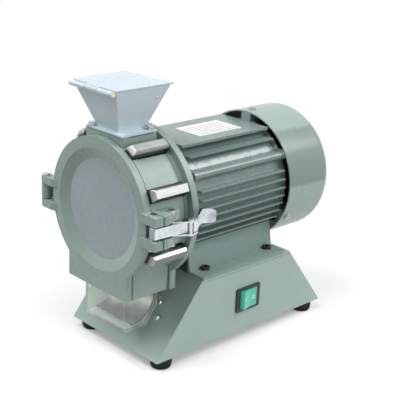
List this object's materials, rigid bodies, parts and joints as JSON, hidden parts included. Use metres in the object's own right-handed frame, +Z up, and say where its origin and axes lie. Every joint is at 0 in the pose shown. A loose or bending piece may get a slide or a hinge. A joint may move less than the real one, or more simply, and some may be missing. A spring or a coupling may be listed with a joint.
{
  "type": "electric grain mill",
  "caption": "Bench knife mill: motor on a sheet base turns a knife rotor in a drum with a latched door, a lidded hopper on top and a clear collecting box below.",
  "frame": {"origin": "On the floor under the middle of the mill's overall box", "axes": "+Z up; +Y from the drum's door towards the fan cowl along the shaft; +X towards the side with the switch and the latch"},
  "size_m": [0.1953, 0.2883, 0.2925],
  "materials": {
    "enamel": "satin grey-green enamel on folded sheet",
    "cast_enamel": "semi-gloss grey-green enamel on cast iron and alloy",
    "hopper_enamel": "pale blue-grey enamel on thin sheet",
    "rubber": "dark grey moulded rubber",
    "black_plastic": "fine-grained black plastic",
    "green_plastic": "clear green plastic that lights up",
    "clear_plastic": "clear acrylic with polished edges",
    "screw_steel": "zinc-plated steel",
    "bright_steel": "ground bright steel",
    "knife_steel": "brushed stainless knife steel",
    "dark_steel": "black-oxide steel",
    "chrome": "bright plated pressed steel",
    "alloy": "die-cast aluminium and steel laminations",
    "brass": "bare brass",
    "copper_wire": "enamelled copper wire"
  },
  "bodies": {
    "frame": {"base_shell": "enamel", "base_floor_plate": "enamel", "rubber_feet": "rubber", "foot_screws": "screw_steel", "switch_frame": "black_plastic", "power_inlet": "black_plastic", "inlet_blades": "brass", "run_capacitor": "black_plastic", "capacitor_clip": "screw_steel", "box_shelf": "enamel", "shelf_screws": "screw_steel", "motor_cradle": "enamel", "cradle_bolts": "dark_steel", "motor_housing": "cast_enamel", "front_end_shield": "cast_enamel", "rear_end_shield": "cast_enamel", "tie_bolts": "dark_steel", "stator_core": "dark_steel", "stator_windings": "copper_wire", "front_bearing": "bright_steel", "rear_bearing": "bright_steel", "fan_cowl": "enamel", "cowl_screws": "screw_steel", "drum_body": "cast_enamel", "back_plate": "cast_enamel", "drum_bolts": "dark_steel", "plate_screws": "screw_steel", "shaft_seal": "rubber", "fixed_knives": "knife_steel", "sieve": "knife_steel", "hopper": "hopper_enamel", "hopper_bolts": "screw_steel", "lid_rod": "brass", "hinge_pin": "screw_steel", "lever_pin": "screw_steel"},
    "rotor": {"motor_shaft": "bright_steel", "rotor_core": "alloy", "cooling_fan": "black_plastic", "rotor_hub": "bright_steel", "rotor_knives": "knife_steel", "knife_bolts": "dark_steel", "rotor_nut": "bright_steel"},
    "door": {"door": "cast_enamel", "door_gasket": "rubber", "catch_pin": "screw_steel"},
    "strap": {"latch_strap": "chrome"},
    "lever": {"latch_lever": "chrome", "toggle_pin": "screw_steel"},
    "lid": {"hopper_lid": "hopper_enamel"},
    "rocker": {"switch_rocker": "green_plastic"},
    "box": {"collecting_box": "clear_plastic", "box_liner": "bright_steel"}
  },
  "joints": [
    {"name": "rotor_spin", "type": "hinge", "parent": "frame", "child": "rotor", "pos_m": [0, 0, 0.164], "axis": [0, 1, 0], "continuous": true},
    {"name": "door_swing", "type": "hinge", "parent": "frame", "child": "door", "pos_m": [-0.0905, -0.1317, 0.1602], "axis": [0, 0, -1], "range_deg": [0, 110]},
    {"name": "latch_strap_swing", "type": "hinge", "parent": "door", "child": "strap", "pos_m": [0.0835, -0.1317, 0.165], "axis": [0, 0, -1], "range_deg": [0, 80]},
    {"name": "latch_lever_swing", "type": "hinge", "parent": "frame", "child": "lever", "pos_m": [0.0845, -0.1095, 0.165], "axis": [0, 0, -1], "range_deg": [0, 90]},
    {"name": "hopper_lid_swing", "type": "hinge", "parent": "frame", "child": "lid", "pos_m": [0, -0.14105, 0.2891], "axis": [1, 0, 0], "range_deg": [0, 110]},
    {"name": "switch_press", "type": "hinge", "parent": "frame", "child": "rocker", "pos_m": [0.0705, 0.0178, 0.0502], "axis": [0, 0, -1], "range_deg": [0, 17]},
    {"name": "box_slide", "type": "slide", "parent": "frame", "child": "box", "axis": [0, -1, 0], "range_m": [0, 0.06]}
  ]
}
